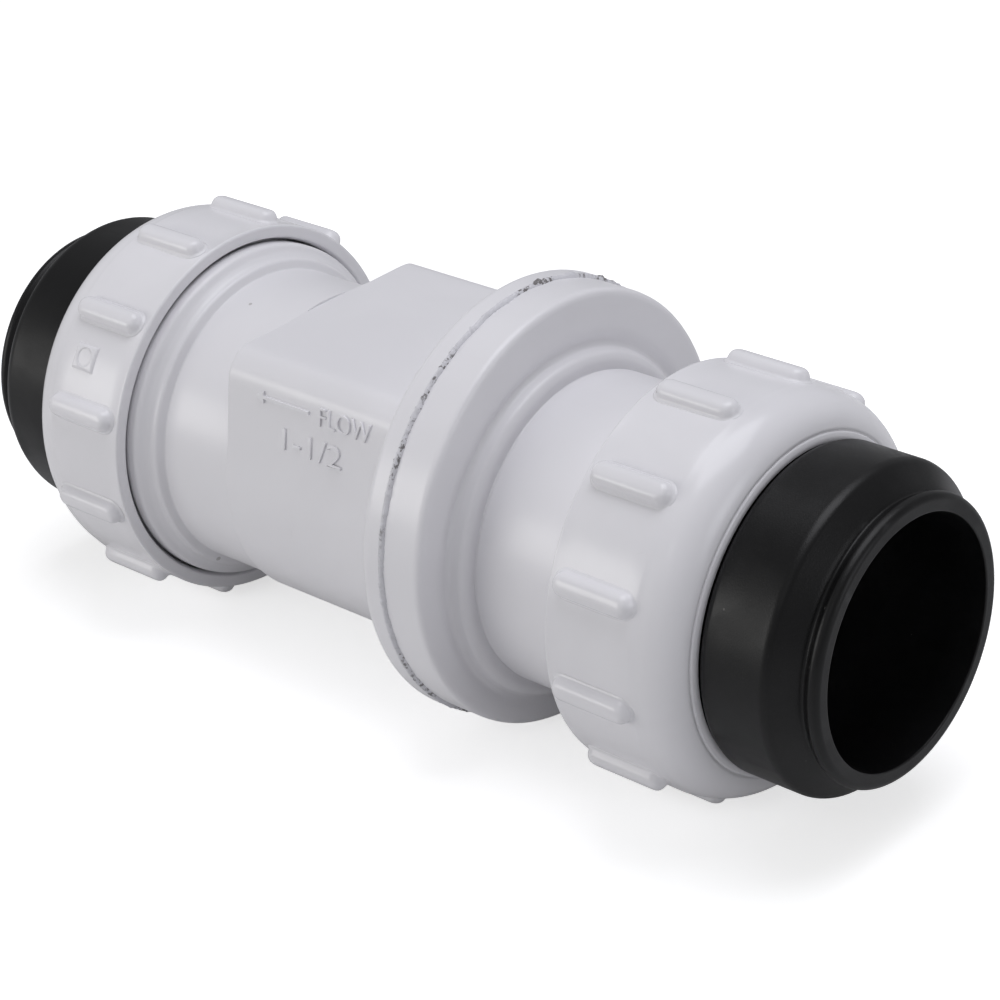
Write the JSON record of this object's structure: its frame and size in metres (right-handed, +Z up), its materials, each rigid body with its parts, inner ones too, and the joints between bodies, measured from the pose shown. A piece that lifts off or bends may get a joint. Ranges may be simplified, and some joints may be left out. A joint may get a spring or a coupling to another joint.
{
  "type": "swing check valve",
  "caption": "White plastic in-line swing check valve with a flat-topped body, an offset round flange, ribbed compression nuts and black rubber sleeves at both ends.",
  "frame": {"origin": "on the pipe axis, midway between the two sleeve end faces", "axes": "+X along the pipe axis towards the inlet end, +Z up out of the flat top, +Y to the left when looking towards the inlet"},
  "size_m": [0.2188, 0.0892, 0.0893],
  "materials": {
    "white_plastic": "satin moulded white plastic",
    "black_rubber": "matte moulded rubber",
    "stainless": "bright stainless steel",
    "acetal": "off-white low-friction plastic"
  },
  "bodies": {
    "valve_shell": {"outlet_body": "white_plastic", "inlet_body": "white_plastic", "seam_bead": "white_plastic", "hinge_bracket": "stainless", "bracket_screw_a": "stainless", "bracket_screw_b": "stainless", "hinge_pin": "stainless", "pin_clip": "stainless"},
    "flap": {"flap_plate": "white_plastic", "flap_seal": "black_rubber", "flap_washer": "stainless", "flap_screw": "stainless", "flap_locknut": "stainless"},
    "inlet_gasket": {"inlet_sleeve": "black_rubber", "inlet_slip_ring": "acetal"},
    "inlet_grip": {"inlet_nut": "white_plastic"},
    "outlet_gasket": {"outlet_sleeve": "black_rubber", "outlet_slip_ring": "acetal"},
    "outlet_grip": {"outlet_nut": "white_plastic"}
  },
  "joints": [
    {"name": "flap_swing", "type": "hinge", "parent": "valve_shell", "child": "flap", "pos_m": [0.0125, 0, 0.026], "axis": [0, 1, 0], "range_deg": [0, 56]},
    {"name": "inlet_travel", "type": "slide", "parent": "valve_shell", "child": "inlet_gasket", "axis": [1, 0, 0], "range_m": [0, 0.0075]},
    {"name": "inlet_turn", "type": "hinge", "parent": "inlet_gasket", "child": "inlet_grip", "pos_m": [0.072, 0, 0], "axis": [1, 0, 0], "range_deg": [0, 540]},
    {"name": "outlet_travel", "type": "slide", "parent": "valve_shell", "child": "outlet_gasket", "axis": [-1, 0, 0], "range_m": [0, 0.0075]},
    {"name": "outlet_turn", "type": "hinge", "parent": "outlet_gasket", "child": "outlet_grip", "pos_m": [-0.072, 0, 0], "axis": [-1, 0, 0], "range_deg": [0, 540]}
  ],
  "couplings": [
    {"joint": "inlet_travel", "follows": "inlet_turn", "m_per_rad": 0.00079577},
    {"joint": "outlet_travel", "follows": "outlet_turn", "m_per_rad": 0.00079577}
  ]
}
